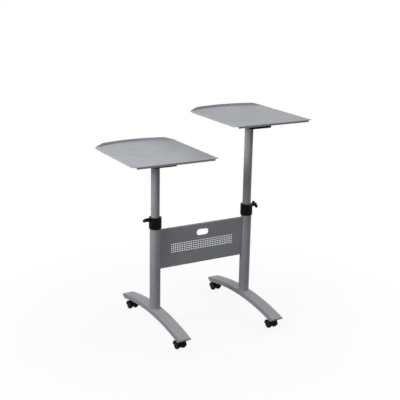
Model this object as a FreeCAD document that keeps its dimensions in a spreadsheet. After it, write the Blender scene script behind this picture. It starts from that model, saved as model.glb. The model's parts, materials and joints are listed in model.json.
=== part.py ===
import FreeCAD, Part
import math
import os
import re
import Sketcher

# Projector cart: two arched feet on twin wheel casters, two telescopic posts,
# a cross panel between the posts and one tray on each post. Millimetres, +Z up,
# origin on the floor midway between the feet, trays open towards +Y.

SIZES = {
    # stand
    "post_spacing": 486,
    "foot_length": 600,
    "foot_width": 58,
    "foot_thickness": 23.5,
    "arch_rise": 36,
    "foot_land": 54,
    "foot_undercut": 22,
    "foot_nose": 5,
    "foot_edge": 3,
    # telescopic posts
    "post_diameter": 50,
    "post_wall": 2,
    "post_length": 427,
    "mast_diameter": 40,
    "mast_wall": 2,
    "mast_length": 500,
    # collar on top of each lower post
    "collar_diameter": 58,
    "collar_height": 54,
    "collar_overlap": 40,
    "collar_foot_round": 3.5,
    "collar_top_round": 2,
    "sleeve_length": 60,
    # clamp knob in the collar
    "knob_drop": 9.5,
    "boss_diameter": 17,
    "boss_reach": 36,
    "screw_diameter": 8,
    "screw_tip_gap": 0.3,
    "hub_gap": 2,
    "hub_diameter": 18,
    "hub_end_diameter": 14,
    "hub_nose": 1.5,
    "hub_socket_floor": 1,
    "bar_reach": 48,
    "bar_length": 44,
    "bar_diameter": 11,
    "bar_end_diameter": 15,
    "bar_end_length": 6,
    "left_bar_tilt": -28,
    "right_bar_tilt": 26,
    # trays
    "left_tray_lift": 738.5,
    "right_tray_lift": 868.5,
    "tray_width": 404,
    "tray_depth": 413,
    "tray_bow": 42,
    "tray_sheet": 2,
    "tray_bend": 3,
    "tray_front_flange": 10,
    "tray_side_flange": 6,
    "tray_front_corner": 6,
    "tray_back_corner": 5,
    "flange_relief": 15,
    "lip_height": 12,
    "lip_taper": 45,
    # bracket between tray and mast
    "bracket_width": 110,
    "bracket_length": 200,
    "bracket_drop": 45,
    "bracket_flange": 18,
    "bracket_sheet": 2.5,
    "bracket_bend": 1.5,
    # cross panel
    "panel_lift": 189.5,
    "panel_height": 188,
    "panel_depth": 14,
    "panel_sheet": 1.5,
    "panel_bend": 3,
    "panel_fit": 0.2,
    "slot_width": 62,
    "slot_height": 29,
    "slot_drop": 40,
    "window_width": 326,
    "window_height": 47,
    "window_drop": 98,
    "screen_margin": 7,
    "screen_sheet": 1.2,
    "hole_diameter": 5,
    "hole_pitch": 9.4,
    # casters
    "caster_inset": 40,
    "caster_boss_proud": 0.8,
    "caster_trail": 12,
    "caster_boss_diameter": 24,
    "stem_diameter": 8,
    "stem_grip": 16,
    "stem_reach": 17,
    "stem_flange_diameter": 18,
    "stem_flange_thickness": 2.5,
    "swivel_gap": 0.3,
    "hood_clearance": 1.2,
    "hood_width": 46,
    "hood_wall": 2,
    "hood_skirt": 15,
    "hood_boss_diameter": 18,
    "hood_boss_proud": 0.7,
    "web_thickness": 12,
    "wheel_diameter": 38,
    "wheel_width": 14,
    "wheel_gap": 1.5,
    "wheel_edge": 3,
    "wheel_rim": 5,
    "wheel_dish": 2,
    "wheel_cap": 2,
    "axle_diameter": 5,
    "front_left_swivel": 0,
    "front_right_swivel": 0,
    "back_left_swivel": 180,
    "back_right_swivel": 0,
    # clearances
    "running_fit": 0.05,
    "seat_fit": 0.1,
}

# Values that follow from the sizes, as formulas.
DERIVED = {
    "arch_height": "((foot_length / 2)^2 - (foot_land / 2)^2 + arch_rise^2) / (2 * arch_rise)",
    "arch_radius": "sqrt((foot_land / 2)^2 + arch_height^2)",
    "sole_radius": "arch_radius - foot_thickness",
    "caster_spread": "foot_length - 2 * caster_inset",
    "boss_edge": "(caster_spread + caster_boss_diameter) / 2",
    "arch_centre": "caster_height + caster_boss_proud - sqrt(sole_radius^2 - boss_edge^2)",
    "crown_height": "arch_centre + arch_height",
    "tip_height": "crown_height - arch_rise",
    "sole_end": "foot_length / 2 - foot_undercut",
    "sole_end_height": "arch_centre + sqrt(sole_radius^2 - sole_end^2)",
    "core_height": "arch_centre + sqrt((arch_radius - foot_thickness / 2)^2 - (caster_spread / 2)^2)",
    "collar_base": "crown_height + post_length - collar_overlap",
    "knob_height": "collar_base + collar_height - knob_drop",
    "mast_radius": "mast_diameter / 2",
    "screw_radius": "screw_diameter / 2",
    "screw_tip": "mast_radius + screw_tip_gap",
    "hub_start": "boss_reach + hub_gap",
    "socket_end": "bar_reach - bar_diameter / 2 - hub_socket_floor",
    "hub_end": "bar_reach + bar_diameter / 2 + hub_nose",
    "panel_width": "post_spacing - post_diameter - 2 * panel_fit",
    "bow_radius": "((tray_width / 2)^2 + tray_bow^2) / (2 * tray_bow)",
    "tray_back": "tray_depth / 2",
    "wheel_radius": "wheel_diameter / 2",
    "hood_radius": "wheel_radius + hood_clearance + hood_wall",
    "hood_top": "wheel_radius + hood_radius + hood_boss_proud",
    "caster_height": "hood_top + swivel_gap + stem_flange_thickness",
    "stem_bottom": "hood_top - stem_reach",
    "wheel_inner": "web_thickness / 2 + wheel_gap",
    "wheel_outer": "wheel_inner + wheel_width",
    "wheel_bore_end": "wheel_outer - wheel_dish - wheel_cap",
}

SIDES = {"left": "-1", "right": "1"}
ENDS = {"front": "-1", "back": "1"}

doc = FreeCAD.newDocument("projector_cart")
sheet = doc.addObject("Spreadsheet::Sheet", "Dims")
for row, (name, size) in enumerate(SIZES.items(), start=1):
    sheet.set("A%d" % row, name)
    sheet.set("B%d" % row, str(size))
    sheet.setAlias("B%d" % row, name)
doc.recompute()

bodies = []


def formula(text):
    """Spell a formula out in cells of the sheet."""
    def spell(match):
        word = match.group(0)
        if word in DERIVED:
            return "(" + formula(DERIVED[word]) + ")"
        return "Dims." + word if word in SIZES else word
    return re.sub(r"[a-z_]+", spell, text)


def value(text):
    """The present value of a formula."""
    return float(sheet.evalExpression(formula(text)))


def new_body(label, x="0", y="0", z="0"):
    """An empty body whose place follows the sheet."""
    body = doc.addObject("PartDesign::Body", label)
    body.Label = label
    for axis, text in zip("xyz", (x, y, z)):
        body.setExpression("Placement.Base." + axis, formula(text))
    bodies.append(body)
    return body


def origin_plane(body, role):
    return next(item for item in body.Origin.OriginFeatures if item.Role == role)


def new_sketch(body, name, role, x="0", y="0", z="0"):
    """A sketch on an origin plane, moved in the plane by x and y and along its normal by z."""
    sketch = body.newObject("Sketcher::SketchObject", body.Name + "_" + name)
    sketch.AttachmentSupport = [(origin_plane(body, role), "")]
    sketch.MapMode = "FlatFace"
    for axis, text in zip("xyz", (x, y, z)):
        sketch.setExpression("AttachmentOffset.Base." + axis, formula(text))
    return sketch


def bind(sketch, constraint, text):
    """Add a dimension to a sketch and tie it to a formula."""
    index = sketch.addConstraint(constraint)
    sketch.setExpression("Constraints[%d]" % index, formula(text))


def pin_point(sketch, geo, point, x, y):
    bind(sketch, Sketcher.Constraint("DistanceX", -1, 1, geo, point, value(x)), x)
    bind(sketch, Sketcher.Constraint("DistanceY", -1, 1, geo, point, value(y)), y)


def arc_between(start, finish, radius, turn):
    """The shorter arc from start to finish, turning left or right."""
    chord = finish - start
    side = 1 if turn == "left" else -1
    across = FreeCAD.Vector(-chord.y, chord.x, 0) * (side / chord.Length)
    rise = math.sqrt(max(radius ** 2 - (chord.Length / 2) ** 2, 0))
    centre = (start + finish) * 0.5 + across * rise
    ends = (start, finish) if turn == "left" else (finish, start)
    angles = [math.atan2(end.y - centre.y, end.x - centre.x) for end in ends]
    return Part.ArcOfCircle(Part.Circle(centre, FreeCAD.Vector(0, 0, 1), radius), *angles)


def draw_outline(sketch, points):
    """A closed outline. A point that also has a radius and a turn starts an arc."""
    corners = [FreeCAD.Vector(value(point[0]), value(point[1]), 0) for point in points]
    edges = []
    for index, point in enumerate(points):
        start = corners[index]
        finish = corners[(index + 1) % len(points)]
        if len(point) == 2:
            geo = sketch.addGeometry(Part.LineSegment(start, finish))
            edges.append((geo, 1, 2))
            continue
        radius, turn = point[2:]
        geo = sketch.addGeometry(arc_between(start, finish, value(radius), turn))
        bind(sketch, Sketcher.Constraint("Radius", geo, value(radius)), radius)
        edges.append((geo, 1, 2) if turn == "left" else (geo, 2, 1))
    for index, (geo, first, last) in enumerate(edges):
        next_geo, next_first, next_last = edges[(index + 1) % len(edges)]
        sketch.addConstraint(Sketcher.Constraint("Coincident", geo, last, next_geo, next_first))
        pin_point(sketch, geo, first, *points[index][:2])


def draw_circle(sketch, x, y, diameter):
    centre = FreeCAD.Vector(value(x), value(y), 0)
    circle = Part.Circle(centre, FreeCAD.Vector(0, 0, 1), value(diameter) / 2)
    geo = sketch.addGeometry(circle)
    pin_point(sketch, geo, 3, x, y)
    bind(sketch, Sketcher.Constraint("Diameter", geo, value(diameter)), diameter)


def draw_box(sketch, left, bottom, right, top):
    draw_outline(sketch, [(left, bottom), (right, bottom), (right, top), (left, top)])


def pad(body, sketch, length, symmetric=False, reverse=False):
    feature = body.newObject("PartDesign::Pad", sketch.Name + "_pad")
    feature.Profile = sketch
    feature.setExpression("Length", formula(length))
    feature.SideType = "Symmetric" if symmetric else "One side"
    feature.Reversed = reverse
    doc.recompute()
    return feature


def pocket(body, sketch, length, symmetric=False, reverse=False):
    """A cut, which must take something away."""
    before = body.Shape.Volume
    feature = body.newObject("PartDesign::Pocket", sketch.Name + "_cut")
    feature.Profile = sketch
    feature.setExpression("Length", formula(length))
    feature.SideType = "Symmetric" if symmetric else "One side"
    feature.Reversed = reverse
    doc.recompute()
    if body.Shape.Volume >= before:
        raise ValueError(feature.Name + " cuts nothing")
    return feature


def revolve(body, sketch, axis):
    feature = body.newObject("PartDesign::Revolution", sketch.Name + "_turn")
    feature.Profile = sketch
    feature.ReferenceAxis = (sketch, [axis])
    feature.Angle = 360
    doc.recompute()
    return feature


def fillet(body, base, radius, wanted):
    """Round the edges of a feature that the test picks."""
    names = ["Edge%d" % number for number, edge in enumerate(base.Shape.Edges, start=1) if wanted(edge)]
    if not names:
        raise ValueError(base.Name + " has no such edge")
    feature = body.newObject("PartDesign::Fillet", base.Name + "_round")
    feature.Base = (base, names)
    feature.setExpression("Radius", formula(radius))
    doc.recompute()
    return feature


def near(first, second):
    return abs(first - second) < 1e-4


def span(edge, axis):
    """Lowest and highest coordinate of an edge's ends along an axis."""
    places = [getattr(vertex.Point, axis) for vertex in edge.Vertexes]
    return min(places), max(places)


def make_foot(side):
    """Arched foot with slanted ends, a flat land for the post and two caster bosses below."""
    body = new_body(side + "_foot", x=SIDES[side] + " * post_spacing / 2")
    profile = new_sketch(body, "arch", "YZ_Plane")
    draw_outline(profile, [
        ("-foot_length / 2", "tip_height", "arch_radius", "right"),
        ("-foot_land / 2", "crown_height"),
        ("foot_land / 2", "crown_height", "arch_radius", "right"),
        ("foot_length / 2", "tip_height"),
        ("foot_length / 2", "tip_height - foot_nose"),
        ("sole_end", "sole_end_height", "sole_radius", "left"),
        ("-sole_end", "sole_end_height"),
        ("-foot_length / 2", "tip_height - foot_nose"),
    ])
    arch = pad(body, profile, "foot_width", symmetric=True)

    def long_edge(edge):
        middle = sum(span(edge, "y")) / 2
        return near(*span(edge, "x")) and abs(middle) < value("sole_end")

    fillet(body, arch, "foot_edge", long_edge)

    for end, sign in ENDS.items():
        place = sign + " * caster_spread / 2"
        boss = new_sketch(body, end + "_boss", "XY_Plane", z="caster_height")
        draw_circle(boss, "0", place, "caster_boss_diameter")
        pad(body, boss, "core_height - caster_height")
        hole = new_sketch(body, end + "_hole", "XY_Plane", z="caster_height")
        draw_circle(hole, "0", place, "stem_diameter + 2 * running_fit")
        pocket(body, hole, "stem_grip + seat_fit", reverse=True)


def make_tube(label, x, z, diameter, wall, length, down=False):
    """Round tube, standing up from its place or hanging down from it."""
    body = new_body(label, x=x, z=z)
    ring = new_sketch(body, "ring", "XY_Plane")
    draw_circle(ring, "0", "0", diameter)
    draw_circle(ring, "0", "0", diameter + " - 2 * " + wall)
    pad(body, ring, length, reverse=down)


def make_collar(side):
    """Collar on the lower post: guide sleeve for the mast and boss for the clamp screw."""
    body = new_body(side + "_collar", x=SIDES[side] + " * post_spacing / 2", z="collar_base")
    outer = "collar_diameter / 2"
    seat = "post_diameter / 2 + seat_fit"
    bore = "mast_radius + running_fit"
    sleeve = "post_diameter / 2 - post_wall - seat_fit"
    sleeve_end = "collar_overlap - sleeve_length"
    profile = new_sketch(body, "profile", "XZ_Plane")
    draw_outline(profile, [
        (seat, "0"),
        (outer + " - collar_foot_round", "0", "collar_foot_round", "left"),
        (outer, "collar_foot_round"),
        (outer, "collar_height - collar_top_round", "collar_top_round", "left"),
        (outer + " - collar_top_round", "collar_height"),
        (bore, "collar_height"),
        (bore, sleeve_end),
        (sleeve, sleeve_end),
        (sleeve, "collar_overlap"),
        (seat, "collar_overlap"),
    ])
    revolve(body, profile, "V_Axis")

    outwards = SIDES[side]
    leftwards = side == "left"
    screw_height = "collar_height - knob_drop"
    boss_start = "(post_diameter + collar_diameter) / 4"
    boss = new_sketch(body, "boss", "YZ_Plane", z=outwards + " * " + boss_start)
    draw_circle(boss, "0", screw_height, "boss_diameter")
    pad(body, boss, "boss_reach - " + boss_start, reverse=leftwards)
    hole = new_sketch(body, "screw_hole", "YZ_Plane")
    draw_circle(hole, "0", screw_height, "screw_diameter + 2 * running_fit")
    pocket(body, hole, "boss_reach + seat_fit", reverse=not leftwards)


def make_knob(side):
    """T shaped knob: a tapered hub and a cross bar with swollen ends."""
    sign = SIDES[side] + " * "
    body = new_body(side + "_knob", x=sign + "post_spacing / 2", z="knob_height")
    body.Placement.Rotation.Axis = FreeCAD.Vector(1, 0, 0)
    body.setExpression("Placement.Rotation.Angle", formula(side + "_bar_tilt"))
    hub = new_sketch(body, "hub", "XY_Plane")
    socket = "screw_radius + running_fit"
    draw_outline(hub, [
        (sign + "hub_start", socket),
        (sign + "hub_start", "hub_diameter / 2"),
        (sign + "hub_end", "hub_end_diameter / 2"),
        (sign + "hub_end", "0"),
        (sign + "socket_end", "0"),
        (sign + "socket_end", socket),
    ])
    revolve(body, hub, "H_Axis")
    bar = new_sketch(body, "bar", "XY_Plane", x=sign + "bar_reach")
    end_radius = "bar_end_diameter / 2"
    draw_outline(bar, [
        ("0", "-bar_length / 2", end_radius, "left"),
        (end_radius, "-bar_length / 2 + " + end_radius),
        ("bar_diameter / 2", "-bar_length / 2 + " + end_radius + " + bar_end_length"),
        ("bar_diameter / 2", "bar_length / 2 - " + end_radius + " - bar_end_length"),
        (end_radius, "bar_length / 2 - " + end_radius, end_radius, "left"),
        ("0", "bar_length / 2"),
    ])
    revolve(body, bar, "V_Axis")


def make_knob_screw(side):
    """Clamp screw, from its tip beside the mast to the bottom of the hub's socket."""
    sign = SIDES[side] + " * "
    body = new_body(side + "_knob_screw", x=sign + "post_spacing / 2", z="knob_height")
    section = new_sketch(body, "section", "YZ_Plane", z=sign + "screw_tip")
    draw_circle(section, "0", "0", "screw_diameter")
    pad(body, section, "socket_end - screw_tip", reverse=side == "left")


def make_bracket(side):
    """Folded hat channel between the mast and the tray."""
    height = "crown_height + " + side + "_tray_lift - tray_sheet"
    body = new_body(side + "_tray_bracket", x=SIDES[side] + " * post_spacing / 2", z=height)
    wall = "bracket_width / 2"
    rim = "(bracket_width / 2 + bracket_flange)"
    inner = "(bracket_width / 2 - bracket_sheet)"
    web = "tray_sheet - bracket_drop"
    profile = new_sketch(body, "hat", "XZ_Plane")
    draw_outline(profile, [
        ("-" + rim, "0"),
        ("-" + rim, "-bracket_sheet"),
        ("-" + wall, "-bracket_sheet"),
        ("-" + wall, web),
        (wall, web),
        (wall, "-bracket_sheet"),
        (rim, "-bracket_sheet"),
        (rim, "0"),
        (inner, "0"),
        (inner, web + " + bracket_sheet"),
        ("-" + inner, web + " + bracket_sheet"),
        ("-" + inner, "0"),
    ])
    hat = pad(body, profile, "bracket_length", symmetric=True)

    def folds(*corners):
        """Picks the lengthwise edges at these distances from the middle and heights."""
        places = [(value(x), value(z)) for x, z in corners]
        return lambda edge: not near(*span(edge, "y")) and any(
            near(abs(span(edge, "x")[0]), x) and near(span(edge, "z")[0], z) for x, z in places)

    outside = fillet(body, hat, "bracket_bend + bracket_sheet", folds((wall, web), (inner, "0")))
    fillet(body, outside, "bracket_bend", folds((wall, "-bracket_sheet"), (inner, web + " + bracket_sheet")))


def make_tray(side):
    """Sheet tray: bowed back edge with a raised lip, folded front and sides."""
    body = new_body(side + "_tray", x=SIDES[side] + " * post_spacing / 2", z="crown_height + " + side + "_tray_lift")
    half = "tray_width / 2"
    outline = new_sketch(body, "outline", "XY_Plane")
    draw_outline(outline, [
        ("-" + half, "-tray_back"),
        (half, "-tray_back"),
        (half, "tray_back", "bow_radius", "left"),
        ("-" + half, "tray_back"),
    ])
    plate = pad(body, outline, "tray_sheet", reverse=True)

    def upright(edge, front):
        low, high = span(edge, "y")
        return near(low, high) and not near(*span(edge, "z")) and (low < 0) == front

    front_round = fillet(body, plate, "tray_front_corner", lambda edge: upright(edge, True))
    fillet(body, front_round, "tray_back_corner", lambda edge: upright(edge, False) and near(
        abs(span(edge, "x")[0]), value(half)))

    inner = "(bow_radius - tray_sheet)"
    lip_half = "(tray_width / 2 - tray_back_corner)"
    bow_centre = "(tray_back + tray_bow - bow_radius)"
    lip = new_sketch(body, "lip", "XY_Plane", z="-tray_sheet / 2")
    draw_outline(lip, [
        (lip_half, bow_centre + " + sqrt(" + inner + "^2 - " + lip_half + "^2)"),
        (lip_half, bow_centre + " + sqrt(bow_radius^2 - " + lip_half + "^2)", "bow_radius", "left"),
        ("-" + lip_half, bow_centre + " + sqrt(bow_radius^2 - " + lip_half + "^2)"),
        ("-" + lip_half, bow_centre + " + sqrt(" + inner + "^2 - " + lip_half + "^2)", inner, "right"),
    ])
    pad(body, lip, "lip_height + tray_sheet / 2")
    for side_name, sign in SIDES.items():
        taper = new_sketch(body, side_name + "_taper", "XZ_Plane")
        edge = sign + " * " + half
        draw_outline(taper, [
            (edge, "0"),
            (edge, "2 * lip_height"),
            (sign + " * (" + half + " - lip_taper)", "2 * lip_height"),
            (sign + " * (" + half + " - lip_taper)", "lip_height"),
        ])
        pocket(body, taper, "2 * (tray_back + tray_bow)")

    front_half = "(tray_width / 2 - flange_relief)"
    side_half = "(tray_back - flange_relief)"
    front = new_sketch(body, "front_flange", "XZ_Plane", z="tray_back - tray_sheet")
    draw_box(front, "-" + front_half, "-tray_front_flange", front_half, "-tray_sheet / 2")
    pad(body, front, "tray_sheet")
    front_bend = new_sketch(body, "front_bend", "YZ_Plane")
    draw_outline(front_bend, [
        ("-tray_back", "0"),
        ("-tray_back", "-tray_bend", "tray_bend", "right"),
        ("tray_bend - tray_back", "0"),
    ])
    pocket(body, front_bend, "2 * " + front_half, symmetric=True)
    for side_name, sign in SIDES.items():
        flange = new_sketch(body, side_name + "_flange", "YZ_Plane", z=sign + " * (tray_width / 2 - tray_sheet)")
        draw_box(flange, "-" + side_half, "-tray_side_flange", side_half, "-tray_sheet / 2")
        pad(body, flange, "tray_sheet", reverse=side_name == "left")
        bend = new_sketch(body, side_name + "_bend", "XZ_Plane")
        edge = sign + " * " + half
        draw_outline(bend, [
            (edge, "0"),
            (edge, "-tray_bend", "tray_bend", "right" if side_name == "left" else "left"),
            (sign + " * (" + half + " - tray_bend)", "0"),
        ])
        pocket(body, bend, "2 * " + side_half, symmetric=True)


def make_panel():
    """Folded cross panel with a hand slot and a window for the perforated screen."""
    body = new_body("cross_panel", z="crown_height + panel_lift")
    half = "panel_width / 2"
    face = new_sketch(body, "face", "XZ_Plane")
    draw_box(face, "-" + half, "0", half, "panel_height")
    block = pad(body, face, "panel_depth", symmetric=True)
    front = value("-panel_depth / 2")
    fillet(body, block, "panel_bend", lambda edge: near(span(edge, "y")[1], front))
    inside = new_sketch(body, "inside", "XZ_Plane", z="-panel_depth / 2")
    draw_box(inside, "panel_sheet - " + half, "panel_sheet", half + " - panel_sheet", "panel_height - panel_sheet")
    pocket(body, inside, "panel_depth - panel_sheet", reverse=True)
    slot = new_sketch(body, "hand_slot", "XZ_Plane")
    reach = "(slot_width - slot_height) / 2"
    middle = "panel_height - slot_drop"
    end = "slot_height / 2"
    draw_outline(slot, [
        ("-" + reach, middle + " - " + end),
        (reach, middle + " - " + end, end, "left"),
        ("slot_width / 2", middle, end, "left"),
        (reach, middle + " + " + end),
        ("-" + reach, middle + " + " + end, end, "left"),
        ("-slot_width / 2", middle, end, "left"),
    ])
    pocket(body, slot, "2 * panel_depth", symmetric=True)
    window = new_sketch(body, "window", "XZ_Plane")
    middle = "panel_height - window_drop"
    draw_box(window, "-window_width / 2", middle + " - window_height / 2",
             "window_width / 2", middle + " + window_height / 2")
    pocket(body, window, "2 * panel_depth", symmetric=True)


def make_screen():
    """Perforated sheet behind the window of the cross panel."""
    body = new_body("perforated_screen", z="crown_height + panel_lift + panel_height - window_drop")
    half_width = "(window_width / 2 + screen_margin)"
    half_height = "(window_height / 2 + screen_margin)"
    face = new_sketch(body, "face", "XZ_Plane", z="panel_depth / 2 - panel_sheet - screen_sheet")
    draw_box(face, "-" + half_width, "-" + half_height, half_width, half_height)
    pad(body, face, "screen_sheet")
    columns = "(floor((window_width - hole_diameter) / hole_pitch) + 1)"
    rows = "(floor((window_height - hole_diameter) / hole_pitch) + 1)"
    hole = new_sketch(body, "hole", "XZ_Plane", z="panel_depth / 2 - panel_sheet")
    draw_circle(hole, "-(" + columns + " - 1) * hole_pitch / 2", "-(" + rows + " - 1) * hole_pitch / 2",
                "hole_diameter")
    first = pocket(body, hole, "screen_sheet")
    grid = body.newObject("PartDesign::LinearPattern", "perforation")
    grid.Originals = [first]
    grid.Direction = (hole, ["H_Axis"])
    grid.Direction2 = (hole, ["V_Axis"])
    grid.setExpression("Length", formula("(" + columns + " - 1) * hole_pitch"))
    grid.setExpression("Length2", formula("(" + rows + " - 1) * hole_pitch"))
    grid.setExpression("Occurrences", formula(columns))
    grid.setExpression("Occurrences2", formula(rows))
    body.Tip = grid
    doc.recompute()


def caster_body(corner, piece):
    """A body on a caster's swivel axis at floor level, turned to where the caster rests."""
    end, side = corner.split("_")
    body = new_body(corner + "_caster_" + piece, x=SIDES[side] + " * post_spacing / 2",
                    y=ENDS[end] + " * caster_spread / 2")
    body.Placement.Rotation.Axis = FreeCAD.Vector(0, 0, 1)
    body.setExpression("Placement.Rotation.Angle", formula(corner + "_swivel"))
    return body


def make_caster_stem(corner):
    """Stem fixed in the foot, with the flange that the hood turns under."""
    body = caster_body(corner, "stem")
    radius = "stem_diameter / 2"
    flange = "stem_flange_diameter / 2"
    flange_bottom = "caster_height - stem_flange_thickness"
    profile = new_sketch(body, "profile", "XZ_Plane")
    draw_outline(profile, [
        ("0", "stem_bottom"),
        (radius, "stem_bottom"),
        (radius, flange_bottom),
        (flange, flange_bottom),
        (flange, "caster_height"),
        (radius, "caster_height"),
        (radius, "caster_height + stem_grip"),
        ("0", "caster_height + stem_grip"),
    ])
    revolve(body, profile, "V_Axis")


def make_caster_hood(corner):
    """Hood over the twin wheels: a middle web, a curved cover and the swivel socket."""
    body = caster_body(corner, "hood")
    cover = new_sketch(body, "cover", "YZ_Plane")
    draw_circle(cover, "caster_trail", "wheel_radius", "2 * hood_radius")
    pad(body, cover, "hood_width", symmetric=True)
    boss = new_sketch(body, "boss", "XY_Plane", z="wheel_radius")
    draw_circle(boss, "0", "0", "hood_boss_diameter")
    pad(body, boss, "hood_top - wheel_radius")
    for side, sign in SIDES.items():
        bay = new_sketch(body, side + "_bay", "YZ_Plane", z=sign + " * web_thickness / 2")
        draw_circle(bay, "caster_trail", "wheel_radius", "2 * (hood_radius - hood_wall)")
        pocket(body, bay, "hood_width", reverse=side == "right")
    skirt = new_sketch(body, "skirt", "YZ_Plane")
    reach = "2 * hood_radius"
    draw_box(skirt, "caster_trail - " + reach, "-" + reach, "caster_trail + " + reach, "hood_skirt")
    pocket(body, skirt, "2 * hood_width", symmetric=True)
    socket = new_sketch(body, "socket", "XY_Plane", z="hood_top")
    draw_circle(socket, "0", "0", "stem_diameter + 2 * running_fit")
    pocket(body, socket, "hood_top - stem_bottom + swivel_gap")
    bore = new_sketch(body, "axle_bore", "YZ_Plane")
    draw_circle(bore, "caster_trail", "wheel_radius", "axle_diameter + 2 * running_fit")
    pocket(body, bore, "2 * web_thickness", symmetric=True)


def make_caster_axle(corner):
    """Axle pin held in the hood's web."""
    body = caster_body(corner, "axle")
    section = new_sketch(body, "section", "YZ_Plane")
    draw_circle(section, "caster_trail", "wheel_radius", "axle_diameter")
    pad(body, section, "2 * (wheel_bore_end - swivel_gap)", symmetric=True)


def make_caster_wheels(corner):
    """Two dished wheels with blind bores, one on each end of the axle."""
    body = caster_body(corner, "wheels")
    body.AllowCompound = True
    bore = "axle_diameter / 2 + running_fit"
    profile = new_sketch(body, "profile", "XZ_Plane", y="wheel_radius", z="-caster_trail")
    draw_outline(profile, [
        ("wheel_inner", bore),
        ("wheel_inner", "wheel_radius - wheel_edge", "wheel_edge", "right"),
        ("wheel_inner + wheel_edge", "wheel_radius"),
        ("wheel_outer - wheel_edge", "wheel_radius", "wheel_edge", "right"),
        ("wheel_outer", "wheel_radius - wheel_edge"),
        ("wheel_outer", "wheel_radius - wheel_rim"),
        ("wheel_outer - wheel_dish", "wheel_radius - wheel_rim - wheel_dish"),
        ("wheel_outer - wheel_dish", "0"),
        ("wheel_bore_end", "0"),
        ("wheel_bore_end", bore),
    ])
    wheel = revolve(body, profile, "H_Axis")
    pair = body.newObject("PartDesign::Mirrored", body.Name + "_pair")
    pair.Originals = [wheel]
    pair.MirrorPlane = (origin_plane(body, "YZ_Plane"), [""])
    body.Tip = pair
    doc.recompute()


for side in SIDES:
    post_x = SIDES[side] + " * post_spacing / 2"
    make_foot(side)
    make_tube(side + "_lower_post", post_x, "crown_height", "post_diameter", "post_wall", "post_length")
    make_collar(side)
    make_knob(side)
    make_knob_screw(side)
    make_tube(side + "_mast", post_x, "crown_height + " + side + "_tray_lift - bracket_drop",
              "mast_diameter", "mast_wall", "mast_length", down=True)
    make_bracket(side)
    make_tray(side)
    for end in ENDS:
        corner = end + "_" + side
        make_caster_stem(corner)
        make_caster_hood(corner)
        make_caster_axle(corner)
        make_caster_wheels(corner)
make_panel()
make_screen()

doc.recompute()
for item in doc.Objects:
    if "Invalid" in item.State or "Error" in item.State:
        raise ValueError(item.Name + " did not build")
os.makedirs("parts", exist_ok=True)
for body in bodies:
    if body.Shape.isNull() or not body.Shape.isValid():
        raise ValueError(body.Label + " has no valid shape")
    body.Shape.exportStep("parts/" + body.Label + ".step")
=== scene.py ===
import json
import math

import bmesh
import bpy
from mathutils import Matrix, Vector


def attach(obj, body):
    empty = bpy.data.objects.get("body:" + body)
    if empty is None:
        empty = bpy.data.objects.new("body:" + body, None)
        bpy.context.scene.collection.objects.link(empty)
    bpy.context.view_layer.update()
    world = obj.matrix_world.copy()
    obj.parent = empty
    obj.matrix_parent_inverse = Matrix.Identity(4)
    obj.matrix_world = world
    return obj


# Projector cart: paint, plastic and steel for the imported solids, the welds,
# screws and rivets, and a plain white studio seen from the photograph's angle.
# Lengths are in metres, unless a comment says otherwise.

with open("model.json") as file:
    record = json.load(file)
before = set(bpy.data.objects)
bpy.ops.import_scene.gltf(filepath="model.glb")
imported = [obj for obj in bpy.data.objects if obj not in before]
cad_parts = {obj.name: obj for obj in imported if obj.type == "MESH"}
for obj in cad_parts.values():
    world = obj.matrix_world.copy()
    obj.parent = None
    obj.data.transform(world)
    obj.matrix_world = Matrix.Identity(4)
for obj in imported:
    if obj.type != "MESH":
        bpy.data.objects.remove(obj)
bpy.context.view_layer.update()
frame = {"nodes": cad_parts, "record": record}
nodes = frame["nodes"]
scene = bpy.context.scene
scene.view_settings.view_transform = "Standard"

# The photograph's camera. Lens and sensor are in millimetres.
AZIMUTH = math.radians(-29.588)
ELEVATION = math.radians(16.425)
ROLL = math.radians(1.088)
TARGET = Vector((-0.01284, 0.0, 0.5903))
DISTANCE = 3.9032
LENS = 76.083
SENSOR = 36.0


def make_camera():
    back = Vector((
        math.sin(AZIMUTH) * math.cos(ELEVATION),
        -math.cos(AZIMUTH) * math.cos(ELEVATION),
        math.sin(ELEVATION),
    ))
    right = Vector((0, 0, 1)).cross(back).normalized()
    up = back.cross(right)
    across = right * math.cos(ROLL) + up * math.sin(ROLL)
    upwards = up * math.cos(ROLL) - right * math.sin(ROLL)
    data = bpy.data.cameras.new("camera")
    data.lens = LENS
    data.sensor_width = SENSOR
    camera = bpy.data.objects.new("camera", data)
    turn = Matrix((across, upwards, back)).transposed().to_4x4()
    camera.matrix_world = Matrix.Translation(TARGET + back * DISTANCE) @ turn
    scene.collection.objects.link(camera)
    scene.camera = camera


def new_tree(name):
    """A new material and its empty node tree."""
    material = bpy.data.materials.new(name)
    material.use_nodes = True
    material.node_tree.nodes.clear()
    return material, material.node_tree


def give(tree, socket, wanted):
    """Sets a socket to a number or colour, or links it to another node's output."""
    if isinstance(wanted, bpy.types.NodeSocket):
        tree.links.new(wanted, socket)
    else:
        socket.default_value = wanted


def add(tree, kind, inputs=None, **settings):
    """A shader node with its settings and inputs."""
    node = tree.nodes.new("ShaderNode" + kind)
    for name, setting in settings.items():
        setattr(node, name, setting)
    for name, wanted in (inputs or {}).items():
        give(tree, node.inputs[name], wanted)
    return node


def show(tree, shader, kind="OutputMaterial"):
    """Links a shader to an output of its tree."""
    tree.links.new(shader.outputs[0], add(tree, kind).inputs[0])


def place_on_piece(tree):
    """The piece's own coordinates."""
    return add(tree, "TexCoord").outputs["Object"]


def noise(tree, scale, detail=3.0, roughness=0.5):
    """Fractal noise in the piece's own coordinates, with about scale features a metre."""
    return add(tree, "TexNoise", {
        "Vector": place_on_piece(tree),
        "Scale": scale,
        "Detail": detail,
        "Roughness": roughness,
    }).outputs[0]


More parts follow.
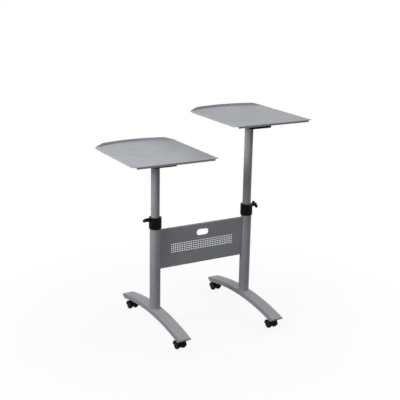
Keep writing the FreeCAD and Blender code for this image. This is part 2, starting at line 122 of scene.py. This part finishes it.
def spread(tree, source, low, high, start=0.35, stop=0.65):
    """A value between start and stop, the usual reach of a noise, mapped to low and high."""
    return add(tree, "MapRange", {
        "Value": source,
        "From Min": start,
        "From Max": stop,
        "To Min": low,
        "To Max": high,
    }).outputs[0]


def blend(tree, factor, first, second, mode="MIX"):
    """Two colours blended by a factor."""
    node = add(tree, "Mix", data_type="RGBA", blend_type=mode)
    colour_inputs = [socket for socket in node.inputs if socket.type == "RGBA"]
    for socket, wanted in zip([node.inputs[0]] + colour_inputs, (factor, first, second)):
        give(tree, socket, wanted)
    return next(socket for socket in node.outputs if socket.type == "RGBA")


def grey(level, blue=1.0):
    """A grey of a level, with its blue raised by a factor and its green by a third of that."""
    return (level, level * (1 + (blue - 1) / 3), level * blue, 1.0)


# Finishes. The scale of a noise or grain is in features a metre.
FLAKE_SCALE = 600.0
MOTTLE_SCALE = 220.0
MOTTLE_SHADE = (0.90, 1.10)
CLOUD_SCALE = 7.0
CLOUD_SHADE = (0.95, 1.04)
PEEL_SCALE = 420.0
PEEL_DEPTH = 0.0003
SATIN_SCALE = 60.0
SATIN_ROUGHNESS = (0.55, 0.65)
WEAR_SCALE = 90.0
GRAIN_STRENGTH = 0.25
GRAIN_DEPTH = 0.0002
PLASTIC_ROUGHNESS = (0.42, 0.58)
ZINC_SCALE = 160.0
ZINC_DARK = (0.42, 0.42, 0.40, 1.0)
ZINC_LIGHT = (0.58, 0.58, 0.57, 1.0)
ZINC_ROUGHNESS = (0.28, 0.44)


def powder_coat(name, dark, light, specular, peel):
    """Sprayed and baked paint: fine flakes, a mottle, faint clouds and an orange peel surface."""
    material, tree = new_tree(name)
    flakes = noise(tree, FLAKE_SCALE, detail=4.0, roughness=0.65)
    mottle = noise(tree, MOTTLE_SCALE, detail=1.0)
    clouds = noise(tree, CLOUD_SCALE, detail=2.0)
    skin = noise(tree, PEEL_SCALE, detail=2.0)
    colour = blend(tree, spread(tree, flakes, 0.0, 1.0), dark, light)
    for pattern, shade in ((mottle, MOTTLE_SHADE), (clouds, CLOUD_SHADE)):
        colour = blend(tree, 1.0, colour, spread(tree, pattern, *shade), "MULTIPLY")
    bump = add(tree, "Bump", {"Strength": peel, "Distance": PEEL_DEPTH, "Height": skin})
    show(tree, add(tree, "BsdfPrincipled", {
        "Base Color": colour,
        "Roughness": spread(tree, noise(tree, SATIN_SCALE), *SATIN_ROUGHNESS),
        "Specular IOR Level": specular,
        "Normal": bump.outputs[0],
    }))
    return material


def moulded_plastic(name, dark, light, specular, grain):
    """Spark eroded plastic: a fine leathery grain with faint wear."""
    material, tree = new_tree(name)
    wear = noise(tree, WEAR_SCALE, detail=5.0, roughness=0.6)
    cells = add(tree, "TexVoronoi", {"Vector": place_on_piece(tree), "Scale": grain})
    bump = add(tree, "Bump", {
        "Strength": GRAIN_STRENGTH,
        "Distance": GRAIN_DEPTH,
        "Height": cells.outputs["Distance"],
    })
    show(tree, add(tree, "BsdfPrincipled", {
        "Base Color": blend(tree, spread(tree, wear, 0.0, 1.0), dark, light),
        "Roughness": spread(tree, wear, *PLASTIC_ROUGHNESS),
        "Specular IOR Level": specular,
        "Normal": bump.outputs[0],
    }))
    return material


def plated_steel(name):
    """Zinc plated steel: a cloudy, faintly yellow metal."""
    material, tree = new_tree(name)
    clouds = noise(tree, ZINC_SCALE, detail=4.0)
    show(tree, add(tree, "BsdfPrincipled", {
        "Base Color": blend(tree, spread(tree, clouds, 0.0, 1.0), ZINC_DARK, ZINC_LIGHT),
        "Metallic": 1.0,
        "Roughness": spread(tree, clouds, *ZINC_ROUGHNESS),
    }))
    return material


finishes = {
    "silver_paint": powder_coat(
        "silver_paint", grey(0.335, blue=1.095), grey(0.515, blue=1.095), specular=0.18, peel=0.05),
    "black_paint": powder_coat(
        "black_paint", grey(0.0035), grey(0.006), specular=0.08, peel=0.08),
    "black_plastic": moulded_plastic(
        "black_plastic", grey(0.003), grey(0.006), specular=0.08, grain=1400.0),
    "caster_plastic": moulded_plastic(
        "caster_plastic", grey(0.0035), grey(0.007), specular=0.08, grain=1100.0),
    "zinc_steel": plated_steel("zinc_steel"),
}
slots = {part["node"]: part["material_slot"] for part in frame["record"]["subparts"]}
for name, node in nodes.items():
    node.data.materials.clear()
    node.data.materials.append(finishes[slots[name]])


# Sheets and flanges that the fixings sit on.
BRACKET_SHEET = 0.0025
BRACKET_FLANGE = 0.018
PANEL_SHEET = 0.0015
SCREEN_MARGIN = 0.007

# Heads as radius and height. Shares run along the panel's height and the screen's width.
BRACKET_SCREW = (0.0048, 0.0028)
BRACKET_SCREW_INSET = 0.028
PANEL_SCREW = (0.0042, 0.0025)
PANEL_SCREW_SHARES = (0.16, 0.5, 0.84)
RIVET = (0.0023, 0.0011)
RIVET_SHARES = (0.02, 0.26, 0.5, 0.74, 0.98)

# The turned outline of a head, from the middle of its seat to the middle of its end:
# share of the radius, share of the height, and whether that ring is six sided.
SCREW_STEPS = 36
SCREW_OUTLINE = (
    (0.00, 0.00, False), (1.00, 0.00, False), (1.00, 0.18, False), (0.93, 0.45, False),
    (0.78, 0.74, False), (0.60, 0.93, False), (0.50, 1.00, False), (0.46, 0.98, True),
    (0.44, 0.45, True), (0.00, 0.45, False),
)
RIVET_STEPS = 24
RIVET_OUTLINE = (
    (0.00, 0.00, False), (1.00, 0.00, False), (0.97, 0.30, False), (0.86, 0.60, False),
    (0.62, 0.85, False), (0.30, 0.97, False), (0.00, 1.00, False),
)
SOCKET_SIDE = math.tau / 6

# Weld beads: radius, ripples of the passes, and how far ripples and drift swell the bead.
WELD_BEAD = 0.0017
POST_WELD_RIPPLES = 44
MAST_WELD_RIPPLES = 36
STEPS_A_RIPPLE = 8
STEPS_ROUND_BEAD = 12
RIPPLE_SWELL = 0.10
DRIFT_SWELL = 0.05
DRIFT_WAVES = 3


def add_piece(name, slot, body, *makers):
    """A visual piece of one or more closed surfaces, made in place, that moves with a body."""
    shape = bmesh.new()
    for maker in makers:
        maker(shape)
    bmesh.ops.recalc_face_normals(shape, faces=shape.faces)
    mesh = bpy.data.meshes.new(name)
    shape.to_mesh(mesh)
    shape.free()
    mesh.materials.append(finishes[slot])
    piece = bpy.data.objects.new(name, mesh)
    scene.collection.objects.link(piece)
    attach(piece, body)


def box_of(name):
    """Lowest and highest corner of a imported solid."""
    points = [vertex.co for vertex in nodes[name].data.vertices]
    low = Vector(min(point[axis] for point in points) for axis in range(3))
    high = Vector(max(point[axis] for point in points) for axis in range(3))
    return low, high


def join_rings(shape, rings, closed=False):
    """Quads between neighbouring rings of equal count, or triangles to a single point."""
    pairs = list(zip(rings, rings[1:]))
    if closed:
        pairs.append((rings[-1], rings[0]))
    for lower, upper in pairs:
        count = max(len(lower), len(upper))
        for step in range(count):
            after = (step + 1) % count
            corners = [lower[step % len(lower)], lower[after % len(lower)],
                       upper[after % len(upper)], upper[step % len(upper)]]
            face = shape.faces.new(list(dict.fromkeys(corners)))
            face.smooth = True


def turned_head(place, axis, size, outline, steps):
    """A head that sits at a place and points along an axis."""
    radius, height = size
    turn = Vector((0, 0, 1)).rotation_difference(Vector(axis)).to_matrix().to_4x4()
    move = Matrix.Translation(place) @ turn

    def build(shape):
        rings = []
        for share, rise, six_sided in outline:
            ring = []
            for step in range(steps if share else 1):
                angle = math.tau * step / steps
                across = share * radius
                if six_sided:
                    off_flat = angle % SOCKET_SIDE - SOCKET_SIDE / 2
                    across *= math.cos(SOCKET_SIDE / 2) / math.cos(off_flat)
                point = Vector((across * math.cos(angle), across * math.sin(angle), rise * height))
                ring.append(shape.verts.new(move @ point))
            rings.append(ring)
        join_rings(shape, rings)
    return build


def screw_head(place, axis, size):
    """A low button head with a six sided socket."""
    return turned_head(place, axis, size, SCREW_OUTLINE, SCREW_STEPS)


def rivet_head(place, axis, size):
    """A low domed rivet head."""
    return turned_head(place, axis, size, RIVET_OUTLINE, RIVET_STEPS)


def weld_bead(place, radius, ripples):
    """A round weld bead with the ripples of its passes."""
    steps = STEPS_A_RIPPLE * ripples

    def build(shape):
        rings = []
        for step in range(steps):
            angle = math.tau * step / steps
            ripple = RIPPLE_SWELL * math.cos(ripples * angle)
            drift = DRIFT_SWELL * math.sin(DRIFT_WAVES * angle)
            bead = WELD_BEAD * (1 + ripple + drift)
            ring = []
            for turn in range(STEPS_ROUND_BEAD):
                tilt = math.tau * turn / STEPS_ROUND_BEAD
                reach = radius + bead * math.cos(tilt)
                point = Vector((
                    reach * math.cos(angle),
                    reach * math.sin(angle),
                    bead * math.sin(tilt),
                ))
                ring.append(shape.verts.new(place + point))
            rings.append(ring)
        join_rings(shape, rings, closed=True)
    return build


def add_welds_and_screws(side):
    """Weld of the post on its foot and of the mast under its bracket, and the bracket's screws."""
    lift = side + "_lift"
    low, high = box_of(side + "_lower_post")
    middle = (low + high) / 2
    post_weld = weld_bead(
        Vector((middle.x, middle.y, low.z)), (high.x - low.x) / 2, POST_WELD_RIPPLES)
    add_piece(side + "_post_weld", "silver_paint", "frame", post_weld)
    low, high = box_of(side + "_mast")
    mast_weld = weld_bead(
        Vector((middle.x, middle.y, high.z)), (high.x - low.x) / 2, MAST_WELD_RIPPLES)
    add_piece(side + "_mast_weld", "black_paint", lift, mast_weld)
    low, high = box_of(side + "_tray_bracket")
    heads = [
        screw_head(Vector((x, y, high.z - BRACKET_SHEET)), (0, 0, -1), BRACKET_SCREW)
        for x in (low.x + BRACKET_FLANGE / 2, high.x - BRACKET_FLANGE / 2)
        for y in (low.y + BRACKET_SCREW_INSET, middle.y, high.y - BRACKET_SCREW_INSET)
    ]
    add_piece(side + "_bracket_screws", "zinc_steel", lift, *heads)


def add_panel_fixings():
    """Screws from the panel's end returns into the posts, and rivets of the screen."""
    low, high = box_of("cross_panel")
    middle = (low.y + high.y + PANEL_SHEET) / 2
    ends = ((low.x + PANEL_SHEET, (1, 0, 0)), (high.x - PANEL_SHEET, (-1, 0, 0)))
    heads = [
        screw_head(Vector((x, middle, low.z + share * (high.z - low.z))), axis, PANEL_SCREW)
        for x, axis in ends
        for share in PANEL_SCREW_SHARES
    ]
    add_piece("panel_screws", "zinc_steel", "frame", *heads)
    low, high = box_of("perforated_screen")
    heads = [
        rivet_head(Vector((low.x + share * (high.x - low.x), high.y, z)), (0, 1, 0), RIVET)
        for share in RIVET_SHARES
        for z in (low.z + SCREEN_MARGIN / 2, high.z - SCREEN_MARGIN / 2)
    ]
    add_piece("screen_rivets", "zinc_steel", "frame", *heads)


for side in ("left", "right"):
    add_welds_and_screws(side)
add_panel_fixings()

# World and floor, as shares of white. SURROUND and FLOOR_BOUNCE light the object. What is
# seen of the floor is paper that takes the shadow, mixed with a glow whose share rises
# from FLOOR_GLOW at the distance PALE_FROM to 1 at PALE_TO.
SURROUND = 0.27
FLOOR_BOUNCE = 0.26
FLOOR_PAPER = 0.95
FLOOR_GLOW = 0.9
PALE_FROM = 0.45
PALE_TO = 1.2
FLOOR_REACH = 30.0
WHITE = (1.0, 1.0, 1.0, 1.0)


def seen_directly(tree):
    """1 for what the camera sees, also in a reflection or through glass."""
    path = add(tree, "LightPath").outputs
    seen = path["Is Camera Ray"]
    for kind in ("Is Glossy Ray", "Is Transmission Ray"):
        seen = add(tree, "Math", {0: seen, 1: path[kind]}, operation="MAXIMUM").outputs[0]
    return seen


def make_world():
    """White where it is seen, and a dim even light on the object."""
    world = bpy.data.worlds.new("studio")
    world.use_nodes = True
    tree = world.node_tree
    tree.nodes.clear()
    strength = spread(tree, seen_directly(tree), SURROUND, 1.0, start=0.0, stop=1.0)
    sky = add(tree, "Background", {"Color": WHITE, "Strength": strength})
    show(tree, sky, "OutputWorld")
    scene.world = world


def make_floor():
    """A white floor that keeps the object's shadow and is clear from below."""
    material, tree = new_tree("studio_floor")
    bounce = add(tree, "BsdfDiffuse", {"Color": grey(FLOOR_BOUNCE)})
    paper = add(tree, "BsdfDiffuse", {"Color": grey(FLOOR_PAPER)})
    glow = add(tree, "Emission", {"Color": WHITE, "Strength": 1.0})
    clear = add(tree, "BsdfTransparent")
    distance = add(tree, "VectorMath", {0: place_on_piece(tree)}, operation="LENGTH")
    share = spread(tree, distance.outputs["Value"], FLOOR_GLOW, 1.0, PALE_FROM, PALE_TO)
    below = add(tree, "NewGeometry").outputs["Backfacing"]

    def mix(factor, first, second):
        return add(tree, "MixShader", {0: factor, 1: first.outputs[0], 2: second.outputs[0]})

    shown = mix(share, paper, glow)
    either = mix(seen_directly(tree), bounce, shown)
    show(tree, mix(below, either, clear))
    mesh = bpy.data.meshes.new("floor")
    turns = ((-1, -1), (1, -1), (1, 1), (-1, 1))
    mesh.from_pydata([(x * FLOOR_REACH, y * FLOOR_REACH, 0) for x, y in turns], [], [(0, 1, 2, 3)])
    mesh.materials.append(material)
    floor = bpy.data.objects.new("floor", mesh)
    scene.collection.objects.link(floor)


def make_lamp(name, place, aim, size, power, beam=180.0):
    """A square area lamp, of a power in watts and a beam in degrees."""
    data = bpy.data.lights.new(name, "AREA")
    data.shape = "SQUARE"
    data.size = size
    data.energy = power
    data.spread = math.radians(beam)
    lamp = bpy.data.objects.new(name, data)
    lamp.location = place
    lamp.rotation_mode = "QUATERNION"
    lamp.rotation_quaternion = (Vector(aim) - Vector(place)).to_track_quat("-Z", "Y")
    lamp.visible_camera = False
    scene.collection.objects.link(lamp)


make_camera()
make_world()
make_floor()
make_lamp("high_left_key", place=(-4.0, 0.0, 7.0), aim=(0.0, 0.0, 0.5),
          size=4.0, power=152.0)
make_lamp("left_softbox", place=(-1.8, -0.25, 1.55), aim=(0.0, 0.0, 1.0),
          size=0.6, power=3.7, beam=75.0)
make_lamp("right_fill", place=(4.0, 0.0, 3.5), aim=(0.0, 0.0, 0.5),
          size=2.0, power=70.0)
